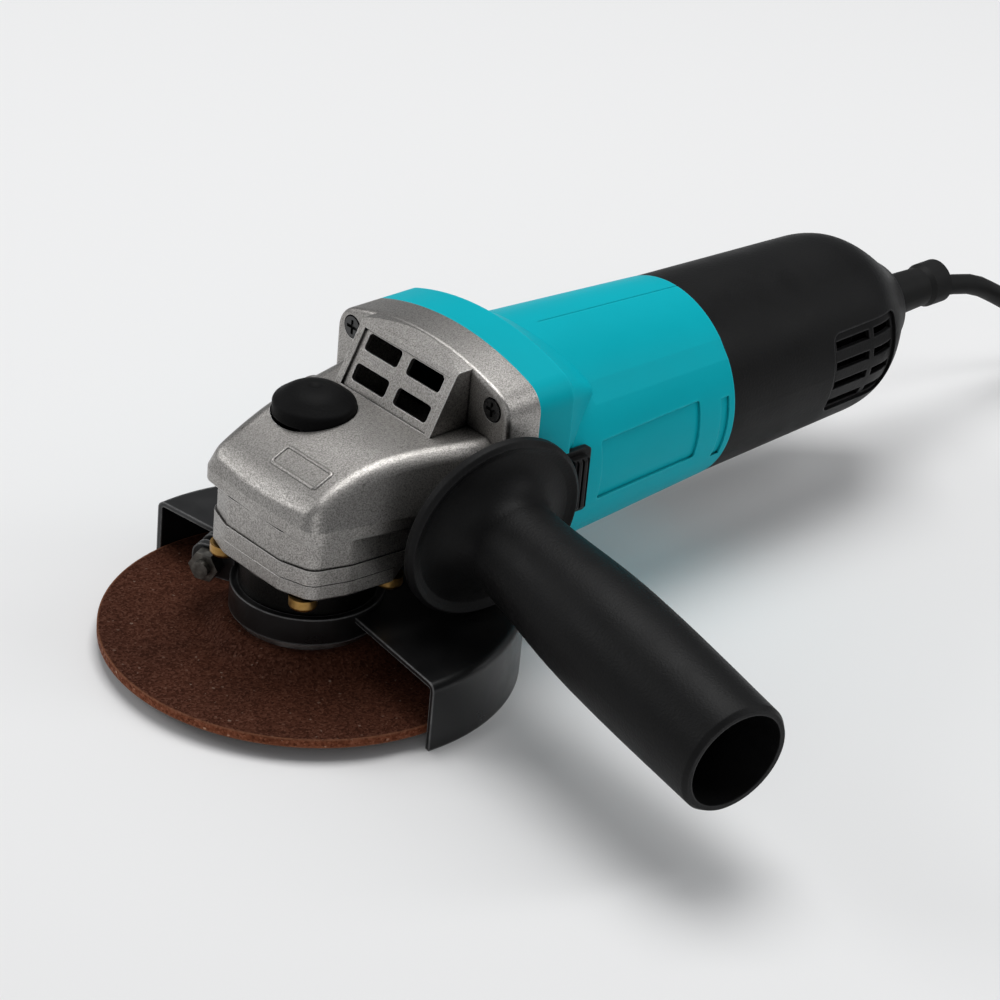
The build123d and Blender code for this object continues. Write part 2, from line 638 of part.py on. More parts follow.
gear_out, gear_in = cone_blank(GEAR_CONE, DEDENDUM)
bevel_gear = turned_z([(GEAR_SEAT_R, GEAR_BOTTOM), (gear_out[0], GEAR_BOTTOM), (gear_out[0], -gear_out[1]),
                       (gear_in[0], -gear_in[1]), (gear_in[0], GEAR_WEB_TOP), (GEAR_HUB_R, GEAR_WEB_TOP),
                       (GEAR_HUB_R, GEAR_HUB_TOP), (GEAR_SEAT_R, GEAR_HUB_TOP)])
gear_teeth = []
for i in range(GEAR_TEETH):
    tooth = bevel_tooth(GEAR_CONE, CONE_L, 360 * i / GEAR_TEETH)
    gear_teeth.append(Rot(180, 0, 180) * tooth)
bevel_gear = bevel_gear.fuse(*gear_teeth)
for i in range(LOCK_HOLES):
    turn = pin_turn + 2 * math.pi * i / LOCK_HOLES
    hole_x = LOCK_PIN_AT * math.cos(turn)
    hole_y = LOCK_PIN_AT * math.sin(turn)
    bevel_gear -= rod_z(LOCK_HOLE_R, GEAR_BOTTOM - 1, 0, hole_x, hole_y)
save("bevel_gear", bevel_gear)
save("gear_clip", rod_z(GEAR_HUB_R, GEAR_HUB_TOP, GEAR_HUB_TOP + CLIP_T)
     - rod_z(GEAR_SEAT_R, GEAR_HUB_TOP - 1, GEAR_HUB_TOP + 2))

inner_flange = rod_z(INNER_FLANGE_R, HUB_TOP, HUB_TOP + INNER_FLANGE_T)
inner_flange += rod_z(INNER_BOSS_R, HUB_TOP, SPINDLE_SHOULDER_BOTTOM)
inner_flange += rod_z(WHEEL_BORE_R - SEAT_GAP, HUB_BOTTOM + 0.4, HUB_TOP)
inner_flange -= rod_z(THREAD_R, HUB_BOTTOM - 5, SPINDLE_SHOULDER_BOTTOM + 1)
save("inner_flange", inner_flange)

slope_out = WHEEL_HUB_R + WHEEL_SLOPE
rim_bottom = RIM_TOP - WHEEL_T
under_hub = WHEEL_HUB_R - WHEEL_BACK
grinding_wheel = turned_z([(WHEEL_BORE_R, HUB_TOP), (WHEEL_HUB_R, HUB_TOP), (slope_out, RIM_TOP),
                           (WHEEL_R, RIM_TOP), (WHEEL_R, rim_bottom), (slope_out - WHEEL_BACK, rim_bottom),
                           (under_hub, HUB_BOTTOM), (WHEEL_BORE_R, HUB_BOTTOM)])
slope_rims = [e for e in grinding_wheel.edges().filter_by(GeomType.CIRCLE)
              if under_hub - 0.1 < e.radius < slope_out + 0.1]
grinding_wheel = fillet(slope_rims, WHEEL_ROUND)
save("grinding_wheel", grinding_wheel)

lock_nut = rod_z(LOCK_NUT_R, HUB_BOTTOM - LOCK_NUT_T, HUB_BOTTOM)
lock_nut += rod_z(LOCK_NUT_HUB_R, HUB_BOTTOM - LOCK_NUT_T - LOCK_NUT_HUB, HUB_BOTTOM)
lock_nut -= rod_z(THREAD_R, HUB_BOTTOM - 20, HUB_BOTTOM + 1)
for side in (1, -1):
    lock_nut -= rod_z(SPANNER_HOLE_R, HUB_BOTTOM - 20, HUB_BOTTOM + 1, side * SPANNER_PCD / 2)
save("lock_nut", lock_nut)

# wheel guard with its clamp
skirt_in = GUARD_R - SHEET
collar_out = NECK_R + COLLAR_T
plate_under = PLATE_TOP - SHEET
wheel_guard = turned_z([(collar_out, PLATE_TOP), (GUARD_R, PLATE_TOP), (GUARD_R, SKIRT_BOTTOM),
                        (skirt_in, SKIRT_BOTTOM), (skirt_in, plate_under), (collar_out, plate_under)])
top_rims = wheel_guard.edges().filter_by(GeomType.CIRCLE).group_by(Axis.Z)[-1]
wheel_guard = fillet(top_rims.sort_by(SortBy.LENGTH)[-1], GUARD_BEND)
inner_bend = [e for e in wheel_guard.edges().filter_by(GeomType.CIRCLE)
              if abs(e.radius - skirt_in) < 0.01 and e.center().Z > SKIRT_BOTTOM + 5]
wheel_guard = fillet(inner_bend, GUARD_BEND - SHEET)
wide = GUARD_R + 10
guard_edge = [(GUARD_ROOT, NECK_R), (GUARD_FRONT, GUARD_R), (GUARD_FRONT, wide), (wide, wide)]
guard_far_edge = [(x, -y) for x, y in reversed(guard_edge)]
guard_cut = make_face(Polyline(*guard_edge, *guard_far_edge, close=True))
wheel_guard -= plan_prism(guard_cut, SKIRT_BOTTOM - 1, PLATE_TOP + 1)
collar_bore = rod_z(NECK_R + RUN_GAP, COLLAR_BOTTOM - 1, COLLAR_TOP + 1)
wheel_guard += rod_z(collar_out + COLLAR_LAP, COLLAR_BOTTOM, COLLAR_TOP) - collar_bore
ears = Rot(0, 0, EAR_ANGLE)
split = EAR_SPLIT / 2
for side in (1, -1):
    ear = block(collar_out - 0.6, EAR_R, min(side * split, side * (split + EAR_T)),
                max(side * split, side * (split + EAR_T)), EAR_BOTTOM, EAR_TOP)
    ear = fillet(ear.edges().filter_by(Axis.Y).group_by(Axis.X)[-1], 3.5)
    wheel_guard += ears * ear
wheel_guard -= ears * block(NECK_R - 2, EAR_R + 1, -split, split, COLLAR_BOTTOM - 1, EAR_TOP + 1)
wheel_guard -= ears * Pos(CLAMP_SCREW_AT, 0, CLAMP_SCREW_Z) * Rot(90, 0, 0) * Cylinder(CLAMP_SCREW_R, 30)
save("wheel_guard", wheel_guard)

ear_face = split + EAR_T


def along_clamp(r, low, high):
    """A cylinder on the clamp screw's line."""
    middle = Pos(CLAMP_SCREW_AT, (low + high) / 2, CLAMP_SCREW_Z)
    return ears * middle * Rot(90, 0, 0) * Cylinder(r, high - low)


head_face = -ear_face - CLAMP_HEAD
nut_face = ear_face + CLAMP_NUT_T
clamp_screw = along_clamp(CLAMP_SCREW_R, -ear_face, nut_face + CLAMP_SCREW_PROUD)
clamp_screw += along_clamp(CLAMP_HEAD_R, head_face, -ear_face)
slot_x = (CLAMP_SCREW_AT - SCREW_SLOT, CLAMP_SCREW_AT + SCREW_SLOT)
slot_z = (CLAMP_SCREW_Z - CLAMP_HEAD_R, CLAMP_SCREW_Z + CLAMP_HEAD_R)
clamp_screw -= ears * block(*slot_x, head_face - 1, head_face + 2 * SCREW_SLOT, *slot_z)
save("clamp_screw", clamp_screw)
nut_place = ears * Pos(CLAMP_SCREW_AT, nut_face, CLAMP_SCREW_Z) * Rot(90, 0, 0)
clamp_nut = nut_place * extrude(RegularPolygon(CLAMP_NUT_R, 6), CLAMP_NUT_T)
clamp_nut -= along_clamp(CLAMP_SCREW_R, 0, nut_face + 10)
save("clamp_nut", clamp_nut)

# spindle lock
lock_button = turned_z([(0, BUTTON_LOW), (BUTTON_R, BUTTON_LOW), (BUTTON_R, BUTTON_EDGE),
                        (BUTTON_CROWN_R, BUTTON_HIGH), (0, BUTTON_HIGH)])
button_rims = lock_button.edges().filter_by(GeomType.CIRCLE).sort_by(Axis.Z)
lock_button = fillet(button_rims[-1], BUTTON_CROWN_ROUND)
button_rims = [e for e in lock_button.edges().filter_by(GeomType.CIRCLE) if abs(e.radius - BUTTON_R) < 0.01]
lock_button = fillet(ShapeList(button_rims).sort_by(Axis.Z)[-1], BUTTON_EDGE_ROUND)
lock_button -= Pos(0, 0, BUTTON_HIGH + DIMPLE_R - DIMPLE_D) * Sphere(DIMPLE_R)
lock_button = Pos(BUTTON_X, BUTTON_Y, 0) * lock_button
spring_top = BUTTON_LOW + LOCK_SPRING_POCKET
pin_top = BUTTON_LOW + LOCK_PIN_GRIP
lock_button -= rod_z(LOCK_SPRING_R + LOCK_SPRING_FREE, BUTTON_LOW - 1, spring_top, pin_x, pin_y)
lock_button -= rod_z(LOCK_PIN_R, BUTTON_LOW, pin_top, pin_x, pin_y)
save("lock_button", lock_button)
save("lock_pin", rod_z(LOCK_PIN_R, LOCK_PIN_TIP, pin_top, pin_x, pin_y))
lock_spring = spring_z(LOCK_SPRING_R, LOCK_SPRING_WIRE, LOCK_SPRING_SEAT, spring_top, 5, pin_x, pin_y)
save("lock_spring", lock_spring)

# side handle
grip_line = Spline((14.0, 13.0), (14.4, 22.0), (16.3, 45.0), (16.9, 65.0), (16.7, 88.0),
                   (HANDLE_END_R, HANDLE_L - 1.5))
neck_line = Spline((24.0, 2.2), (18.5, 4.0), (15.2, 7.5), (14.0, 13.0))
grip_rest = Polyline(grip_line @ 1, (HANDLE_END_R - 0.9, HANDLE_L), (HANDLE_BORE_R, HANDLE_L),
                     (HANDLE_BORE_R - 0.6, 60), (HANDLE_BORE_R - 3.0, 24), (0, 24), (0, HANDLE_SEAT),
                     (BOSS_R + 2, HANDLE_SEAT), (BOSS_R + 4, -0.8), (HANDLE_FLANGE_R - 1.5, -0.8),
                     (HANDLE_FLANGE_R, 0.2), (HANDLE_FLANGE_R, 2.0), (HANDLE_FLANGE_R - 1.2, 3.2),
                     (HANDLE_FLANGE_R - 2.6, 2.6), neck_line @ 0)
handle_grip = revolve(make_face(Plane.XZ * (neck_line + grip_line + grip_rest)), Axis.Z)
handle_grip -= rod_z(STUD_R, HANDLE_SEAT - 1, STUD_GRIP)
left = handle_place(1)
save("handle_grip", left * handle_grip)
save("handle_stud", left * rod_z(STUD_R, HANDLE_SEAT - STUD_DEPTH, STUD_GRIP))

# motor housing
def body_r(x):
    """The motor housing's radius."""
    front = FLANGE_REAR + 2
    return BODY_FRONT_R + (BODY_REAR_R - BODY_FRONT_R) * (front - x) / (front - SEAM)


def long_cut(front, rear, depth, half):
    """A cutter along the top of the motor housing, to a depth under its skin."""
    far = 2 * BODY_FRONT_R
    low_front = body_r(front) - depth
    low_rear = body_r(rear) - depth
    return side_prism([(front, low_front), (rear, low_rear), (rear, far), (front, far)], half)


body_points = [(FLANGE_REAR + 2, BODY_FRONT_R), (SEAM, BODY_REAR_R)]
motor_body = turned_x([(FLANGE_REAR + 2, 0), *body_points, (SEAM, 0)])
motor_skin = motor_body - turned_x([(FLANGE_REAR + 3, 0), (FLANGE_REAR + 3, BODY_FRONT_R - SIDE_PANEL_D),
                                    (SEAM - 1, BODY_REAR_R - SIDE_PANEL_D), (SEAM - 1, 0)])
px0, px1, pz0, pz1 = SIDE_PANEL
side_panel = fillet(block(px0, px1, 20, 40, pz0, pz1).edges().filter_by(Axis.Y), SIDE_PANEL_ROUND)
motor_body -= motor_skin & side_panel
sx0, sx1, sz0, sz1 = SIDE_STRIP
motor_body -= motor_skin & block(sx0, sx1, 20, 40, sz0, sz1)
facet_half = math.radians((FACET[1] - FACET[0]) / 2)
for side in (1, -1):
    facet = long_cut(FACET_START, SEAM - 1, (1 - math.cos(facet_half)) * BODY_FRONT_R, 20)
    motor_body -= Rot(-side * sum(FACET) / 2, 0, 0) * facet
motor_body -= Rot(-MOULD_LINE_AT, 0, 0) * long_cut(FACET_START, SEAM - 1, MOULD_LINE_D, MOULD_LINE_W / 2)
flare_low = Plane.YZ.offset(FLANGE_REAR - FLARE_L) * flange_outline(FLARE_IN)
flare = loft([flare_low, Plane.YZ.offset(FLANGE_REAR + 0.5) * flange_outline(FLARE_STEP)], ruled=True)
motor_housing = motor_body + cross_prism(flange_outline(), FLANGE_REAR, FLANGE_JOINT) + flare
motor_housing -= block(FLANGE_REAR - 1.5, FLANGE_JOINT + 1, -50, 50, -60, FLANGE_BOTTOM)
front_cavity = rod_x(CAVITY_R, FIELD_BORE_START, FLANGE_JOINT + 1)
front_cavity -= block(CAVITY_FRONT, FLANGE_JOINT + 2, -50, 50, -60, CAVITY_FLOOR)
motor_housing -= front_cavity
motor_housing -= rod_x(FIELD_BORE_R, FIELD_BORE_END, FIELD_BORE_START + 1)
motor_housing -= rod_x(SPIGOT_IN_R, SEAM - 1, FIELD_BORE_END + 1)
motor_housing += rod_x(SPIGOT_R, SPIGOT_END - END_WALL, SEAM + 1) - rod_x(SPIGOT_IN_R, SPIGOT_END, SEAM + 2)
motor_housing += rod_x(REAR_BEARING_R + 2.5, REAR_BEARING[0], SPIGOT_END - 1)
motor_housing -= rod_x(REAR_BEARING_R, REAR_BEARING[0] - 1, REAR_BEARING[1])
motor_housing -= rod_x(REAR_BEARING_R - 2, REAR_BEARING[0] - 1, SPIGOT_END + 1)
motor_housing += block(SPIGOT_END - END_WALL, COVER_SCREW_X + 4, -5, 5, -SPIGOT_R + 0.6, -17)
motor_housing -= rod_z(COVER_SCREW_R, -30, COVER_SCREW_TIP, COVER_SCREW_X)
motor_housing -= block(STEM[0] - SLIDE_GAP, STEM[1] + KNOB_TRAVEL + SLIDE_GAP, 20, 40,
                       ROD_LOW - SLIDE_GAP, ROD_HIGH + SLIDE_GAP)
motor_housing -= block(KNOB[0] - KNOB_GAP, KNOB[1] + KNOB_TRAVEL + KNOB_GAP, POCKET_FLOOR, 50,
                       KNOB_LOW - KNOB_GAP, KNOB_HIGH + KNOB_GAP)
motor_housing -= block(SPIGOT_END - END_WALL - 1, SEAM + 6, ROD_IN - 1, 29, ROD_LOW - 1, ROD_HIGH + 1)
for side in (1, -1):
    low, high = sorted((side * HOLDER_LOW, side * 40))
    hole_x = BRUSH_HALF_X + BRUSH_WALL
    hole_y = BRUSH_HALF_Y + BRUSH_WALL
    holder_hole = block(BRUSH_X - hole_x, BRUSH_X + hole_x, -hole_y, hole_y, low, high)
    motor_housing -= holder_hole & rod_x(SPIGOT_R + 0.1, SPIGOT_END, SEAM)
for y, z in HOUSING_SCREWS:
    motor_housing -= rod_x(HOUSING_SCREW_R, HOUSING_SCREW_END, FLANGE_JOINT + 1, y, z)
save("motor_housing", motor_housing)

# slide switch
knob = block(*KNOB, KNOB_SEAT, KNOB_SEAT + 1.8, KNOB_LOW, KNOB_HIGH)
knob = fillet(knob.edges().filter_by(Axis.Y), 1.5)
knob_top = KNOB_SEAT + KNOB_H
pad = block(KNOB[0] + KNOB_RIM, KNOB[1] - KNOB_RIM, KNOB_SEAT + 1, knob_top,
            KNOB_LOW + KNOB_RIM, KNOB_HIGH - KNOB_RIM)
knob += fillet(pad.edges().group_by(Axis.Y)[-1], 1.2)
for i in range(KNOB_RIBS):
    rib_x = (KNOB[0] + KNOB[1]) / 2 + KNOB_RIB_PITCH * (i - KNOB_RIBS / 2 + 0.5)
    knob -= block(rib_x - KNOB_RIB_W / 2, rib_x + KNOB_RIB_W / 2, knob_top - KNOB_RIB_W, knob_top + 1,
                  KNOB_LOW, KNOB_HIGH)
knob += block(*STEM, ROD_OUT, KNOB_SEAT + 1, ROD_LOW, ROD_HIGH)
save("switch_knob", knob)
save("switch_rod", block(ROD_END, STEM[1], ROD_IN, ROD_OUT, ROD_LOW, ROD_HIGH))
switch_body = block(*SWITCH, SWITCH_IN, SWITCH_OUT, -10, 10)
switch_body = fillet(switch_body.edges().filter_by(Axis.X), 1.5)
save("switch_body", switch_body)
save("capacitor", fillet(block(-171, SWITCH[1], -24, -15, -8, 8).edges().filter_by(Axis.X), 1.5))

# armature
shaft = rod_x(PINION_BORE_R, PINION_BACK, SHAFT_TIP) + rod_x(SHAFT_R, REAR_BEARING[1], PINION_BACK)
shaft += rod_x(REAR_SHAFT_R, SHAFT_END, REAR_BEARING[1])
save("armature_shaft", shaft)
pin_out, pin_in = cone_blank(PINION_CONE, DEDENDUM)
pinion = turned_x([(-pin_in[1], PINION_BORE_R), (-pin_in[1], pin_in[0]), (-pin_out[1], pin_out[0]),
                   (PINION_BACK, pin_out[0]), (PINION_BACK, PINION_BORE_R)])
pinion_teeth = []
for i in range(PINION_TEETH):
    tooth = bevel_tooth(PINION_CONE, CONE_L, 360 * i / PINION_TEETH)
    pinion_teeth.append(Rot(0, -90, 0) * tooth)
pinion = pinion.fuse(*pinion_teeth)
pinion -= rod_x(PINION_BORE_R, PINION_BACK - 1, 0)
save("pinion", pinion)


def bearing_x(name, span, inner, outer):
    """A sealed ball bearing as two rings along X."""
    middle = (inner + outer) / 2
    save(name + "_outer", rod_x(outer, *span) - rod_x(middle, span[0] - 1, span[1] + 1))
    save(name + "_inner", rod_x(middle - RUN_GAP, *span) - rod_x(inner, span[0] - 1, span[1] + 1))


bearing_x("front_bearing", FRONT_BEARING, SHAFT_R, FRONT_BEARING_R)
bearing_x("rear_bearing", REAR_BEARING, REAR_SHAFT_R, REAR_BEARING_R)

fan = rod_x(FAN_R, FAN[0], FAN[0] + 1.5) + rod_x(8.5, *FAN)
for i in range(FAN_BLADES):
    blade = block(FAN[0] + 1, FAN[1], -0.6, 0.6, 11, FAN_R - 0.5)
    fan += Rot(360 * i / FAN_BLADES, 0, 0) * blade
fan -= rod_x(SHAFT_R, FAN[0] - 1, FAN[1] + 1)
save("cooling_fan", fan)

core = rod_x(CORE_R, *CORE) - rod_x(SHAFT_R, CORE[0] - 1, CORE[1] + 1)
for i in range(CORE_SLOTS):
    core -= Rot(360 * i / CORE_SLOTS, 0, 0) * block(CORE[0] - 1, CORE[1] + 1, -1.2, 1.2, 10, CORE_R + 1)
save("armature_core", core)
windings = []
for low, high in ((CORE[0] - WINDING_L, CORE[0]), (CORE[1], CORE[1] + WINDING_L)):
    ring = rod_x(WINDING_R, low, high) - rod_x(SHAFT_R, low - 1, high + 1)
    windings.append(fillet([e for e in ring.edges().filter_by(GeomType.CIRCLE) if e.radius > 10], 2.5))
save("armature_windings", *windings)
commutator = rod_x(COMMUTATOR_R, *COMMUTATOR) - rod_x(SHAFT_R, COMMUTATOR[0] - 1, COMMUTATOR[1] + 1)
for i in range(COMMUTATOR_BARS):
    bar_cut = block(COMMUTATOR[0] - 1, COMMUTATOR[1] + 1, -BAR_GAP / 2, BAR_GAP / 2,
                    COMMUTATOR_R - BAR_GAP_D, COMMUTATOR_R + 1)
    commutator -= Rot(360 * i / COMMUTATOR_BARS, 0, 0) * bar_cut
save("commutator", commutator)

# field
field = rod_x(FIELD_R, *CORE) & block(CORE[0] - 1, CORE[1] + 1, -FIELD_FLAT, FIELD_FLAT, -40, 40)
field -= rod_x(CORE_R + AIR_GAP, CORE[0] - 1, CORE[1] + 1)
for side in (1, -1):
    low, high = sorted((side * 12, side * COIL_OUT))
    field -= block(CORE[0] - 1, CORE[1] + 1, low, high, -13, 13)
save("field_core", field)
coils = []
for side in (1, -1):
    coil = None
    for hand in (1, -1):
        y0, y1 = sorted((hand * COIL_IN, hand * COIL_OUT))
        z0, z1 = sorted((side * 1.5, side * 12.8))
        bar = block(CORE[0] - WINDING_L, CORE[1] + WINDING_L, y0, y1, z0, z1)
        coil = bar if coil is None else coil + bar
    for low, high in ((CORE[0] - WINDING_L, CORE[0] - 0.4), (CORE[1] + 0.4, CORE[1] + WINDING_L)):
        half = rod_x(24.5, low, high) - rod_x(COIL_IN + 0.2, low - 1, high + 1)
        z0, z1 = sorted((side * 1.5, side * 40))
        coil += half & block(low - 1, high + 1, -COIL_OUT, COIL_OUT, z0, z1)
    coils.append(coil)
save("field_coils", *coils)
baffle = rod_x(CAVITY_R, *BAFFLE) - rod_x(18.5, BAFFLE[0] - 1, BAFFLE[1] + 1)
baffle -= block(BAFFLE[0] - 1, BAFFLE[1] + 1, ROD_IN - 0.6, 40, ROD_LOW - 0.6, ROD_HIGH + 0.6)
save("air_baffle", baffle)

# brushes
holders = []
for side, word in ((1, "top"), (-1, "bottom")):
    turn = Rot(0, 0, 0) if side == 1 else Rot(180, 0, 0)
    out_x_half = BRUSH_HALF_X + BRUSH_WALL
    out_y_half = BRUSH_HALF_Y + BRUSH_WALL
    holder = block(BRUSH_X - out_x_half, BRUSH_X + out_x_half, -out_y_half, out_y_half,
                   HOLDER_LOW, HOLDER_HIGH + HOLDER_CAP)
    holder -= block(BRUSH_X - BRUSH_HALF_X - BRUSH_SLIDE, BRUSH_X + BRUSH_HALF_X + BRUSH_SLIDE,
                    -BRUSH_HALF_Y - BRUSH_SLIDE, BRUSH_HALF_Y + BRUSH_SLIDE, HOLDER_LOW - 1, HOLDER_HIGH)
    holders.append(turn * holder)
    brush = block(BRUSH_X - BRUSH_HALF_X, BRUSH_X + BRUSH_HALF_X, -BRUSH_HALF_Y, BRUSH_HALF_Y,
                  BRUSH_LOW, BRUSH_HIGH)
    save("carbon_brush_" + word, turn * brush)
    brush_spring = spring_z(BRUSH_SPRING_R, BRUSH_SPRING_WIRE, BRUSH_HIGH, HOLDER_HIGH, 4, BRUSH_X)
    save("brush_spring_" + word, turn * brush_spring)
save("brush_holders", *holders)

# rear cover
def cover_form(inset, front):
    """The cover's outer form, or the same form an inset inside it."""
    line = [(COVER_ROUND_START, COVER_REAR_R), *COVER_CURVE, (COVER_END, COVER_END_R)]
    places = [Vector(*p) for p in line]
    moved = [places[0] + Vector(0, -inset)]
    for before, here, after in zip(places, places[1:], places[2:]):
        run = (after - before).normalized()
        moved.append(here + Vector(-run.Y, run.X) * inset)
    moved.append(places[-1] + Vector(inset, 0))
    taper = (COVER_ROUND_START - SEAM, COVER_REAR_R - COVER_R)
    curve = Spline(*moved, tangents=(taper, (-0.35, -1)))
    rest = Polyline(curve @ 1, (COVER_END + inset, 0), (front, 0), (front, COVER_R - inset), curve @ 0)
    return revolve(make_face(curve + rest), Axis.X)


cover_outer = cover_form(0, SEAM)
cover_hollow = cover_form(COVER_WALL, SEAM + 1)
cover_skin = cover_outer - cover_form(VENT_RECESS_D, SEAM + 1)
rear_cover = cover_outer - cover_hollow
rear_cover += block(*CLAMP_X, -CLAMP_HALF, CLAMP_HALF, -24, -CORD_R) & cover_outer
rear_cover -= rod_x(RELIEF_R, COVER_END - 1, COVER_END + 5)
vx0, vx1, vz0, vz1 = VENT_RECESS
for side in (1, -1):
    recess = fillet(block(vx0, vx1, 12, 40, vz0, vz1).edges().filter_by(Axis.Y), 3)
    rear_cover -= cover_skin & (recess if side == 1 else mirror(recess, Plane.XZ))
rear_cover -= rod_x(SPIGOT_R + COVER_FIT, SPIGOT_END - END_WALL - COVER_FIT, SEAM + 1)
rear_cover -= block(ROD_END - 1, SEAM + 1, ROD_IN - 1, ROD_OUT + ROD_FREE, ROD_LOW - 1, ROD_HIGH + 1)
for low, high in VENT_COLUMNS:
    for row in VENT_ROWS:
        for y0, y1 in ((12, 40), (-40, -12)):
            rear_cover -= block(low, high, y0, y1, row - VENT_SLOT_H / 2, row + VENT_SLOT_H / 2)
rear_cover -= rod_z(COVER_SCREW_NECK_R, -40, -20, COVER_SCREW_X)
rear_cover -= rod_z(COVER_SCREW_HEAD_R, -40, COVER_SCREW_SEAT, COVER_SCREW_X)
for side in (1, -1):
    rear_cover -= rod_z(1.3, -14, 0, sum(CLAMP_X) / 2, side * CLAMP_SCREW_Y)
save("rear_cover", rear_cover)
cover_screw = rod_z(COVER_SCREW_R, -SPIGOT_R - 1, COVER_SCREW_TIP, COVER_SCREW_X)
cover_screw += rod_z(COVER_SCREW_HEAD_R, COVER_SCREW_SEAT - 2, COVER_SCREW_SEAT, COVER_SCREW_X)
cover_screw += rod_z(COVER_SCREW_NECK_R, COVER_SCREW_SEAT, -SPIGOT_R - 0.05, COVER_SCREW_X)
save("rear_cover_screw", cover_screw)

clamp_bar = block(*CLAMP_X, -CLAMP_HALF, CLAMP_HALF, CORD_R, CORD_R + CLAMP_T)
clamp_screws = []
for side in (1, -1):
    place = (sum(CLAMP_X) / 2, side * CLAMP_SCREW_Y)
    clamp_bar -= rod_z(1.3, 0, 20, *place)
    screw = rod_z(1.3, -14, CORD_R + CLAMP_T, *place)
    screw += rod_z(2.6, CORD_R + CLAMP_T, CORD_R + CLAMP_T + 2, *place)
    clamp_screws.append(screw)
save("cord_clamp", clamp_bar)
save("cord_clamp_screws", *clamp_screws)

relief_seat = COVER_END + COVER_WALL
rib_front = RELIEF_END + RELIEF_RIB_W
relief_points = [(relief_seat + RELIEF_HEAD, CORD_R), (relief_seat + RELIEF_HEAD, RELIEF_HEAD_R),
                 (relief_seat, RELIEF_HEAD_R), (relief_seat, RELIEF_R), (COVER_END - 1, RELIEF_R),
                 (rib_front + RELIEF_EDGE, RELIEF_WAIST_R), (rib_front, RELIEF_RIB_R),
                 (RELIEF_END + RELIEF_EDGE, RELIEF_RIB_R),
                 (RELIEF_END, RELIEF_RIB_R - RELIEF_EDGE), (RELIEF_END, RELIEF_MOUTH_R),
                 (RELIEF_END + RELIEF_MOUTH, CORD_R)]
cord_guard = turned_x(relief_points)
save("cord_guard", cord_guard)

# cord, tied coil and plug
floor_z = SKIRT_BOTTOM
coil_z = floor_z + COIL_TUBE_R
coil_entry = (COIL_X, COIL_Y - COIL_R - CORD_TURN, floor_z + CORD_R + 0.05)
cord_points = [(CORD_IN, 0, 0), (-262.0, 0, 0), (-291.7, 0, -16.5), (-315.0, 2.0, -33.0),
               (-336.0, 4.2, -43.0)]
cord_wire = cord_route([*cord_points, coil_entry])
power_cord = sweep(Plane(origin=cord_wire @ 0, z_dir=cord_wire % 0) * Circle(CORD_R), cord_wire)
save("power_cord", power_cord)
save("cord_coil", Pos(COIL_X, COIL_Y, coil_z) * Torus(COIL_R, COIL_TUBE_R))
tie_r = COIL_TUBE_R + TIE_RISE
tie_ring = Cylinder(tie_r, TIE_W) - Cylinder(tie_r - TIE_T, TIE_W + 2)
save("coil_tie", Pos(COIL_X + COIL_R, COIL_Y, floor_z + tie_r) * Rot(90, 0, 0) * tie_ring)
plug_x = COIL_X - COIL_R - CORD_TURN
plug_z = floor_z + PLUG_HALF_H
tail_y = COIL_Y + math.sqrt((COIL_R + COIL_TUBE_R) ** 2 - (COIL_R + CORD_TURN) ** 2) - 1.0
neck_y = tail_y + PLUG_TAIL
back_y = neck_y + PLUG_NECK
face_y = back_y + PLUG_L


def plug_section(y, width, height):
    """A stadium across the plug's line."""
    return Plane(origin=(plug_x, y, plug_z), x_dir=(1, 0, 0), z_dir=(0, 1, 0)) * SlotOverall(width, height)


plug_back = plug_section(back_y, 2 * PLUG_HALF_W, 2 * PLUG_HALF_H)
plug_body = extrude(plug_back, PLUG_L)
plug_body += loft([plug_section(neck_y, PLUG_TAIL_W, PLUG_TAIL_H), plug_back])
plug_body += extrude(plug_section(tail_y, PLUG_TAIL_W, PLUG_TAIL_H), PLUG_TAIL)
save("plug_body", plug_body)
plug_pins = []
for side in (1, -1):
    pin_at = Pos(plug_x + side * PIN_PITCH / 2, face_y + PIN_L / 2, plug_z)
    pin = pin_at * Rot(90, 0, 0) * Cylinder(PIN_R, PIN_L)
    plug_pins.append(fillet(pin.edges().sort_by(Axis.Y)[-1], 1.6))
save("plug_pins", *plug_pins)
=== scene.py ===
import json
import math

import bpy
from mathutils import Matrix, Vector


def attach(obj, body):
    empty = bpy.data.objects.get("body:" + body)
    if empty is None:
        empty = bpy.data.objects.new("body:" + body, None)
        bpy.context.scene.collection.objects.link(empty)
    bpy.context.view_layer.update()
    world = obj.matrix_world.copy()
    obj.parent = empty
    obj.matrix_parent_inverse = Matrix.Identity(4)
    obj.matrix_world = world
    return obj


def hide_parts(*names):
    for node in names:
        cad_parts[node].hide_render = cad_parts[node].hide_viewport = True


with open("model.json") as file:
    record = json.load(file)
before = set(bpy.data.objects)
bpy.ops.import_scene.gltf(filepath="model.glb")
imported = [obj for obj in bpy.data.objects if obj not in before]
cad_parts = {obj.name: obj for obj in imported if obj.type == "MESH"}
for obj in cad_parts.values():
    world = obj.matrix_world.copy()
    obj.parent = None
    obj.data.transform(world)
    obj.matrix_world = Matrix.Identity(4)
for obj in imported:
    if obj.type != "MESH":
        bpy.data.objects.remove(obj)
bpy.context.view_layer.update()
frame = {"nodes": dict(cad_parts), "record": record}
nodes = frame["nodes"]

# the tool frame (axes crossing at zero, millimetres) in the row's frame
SHIFT = Vector((99.0, -45.060361, 47.7))


def at(x, y, z):
    """A point of the tool frame, in metres of the row's frame."""
    return (Vector((x, y, z)) + SHIFT) / 1000


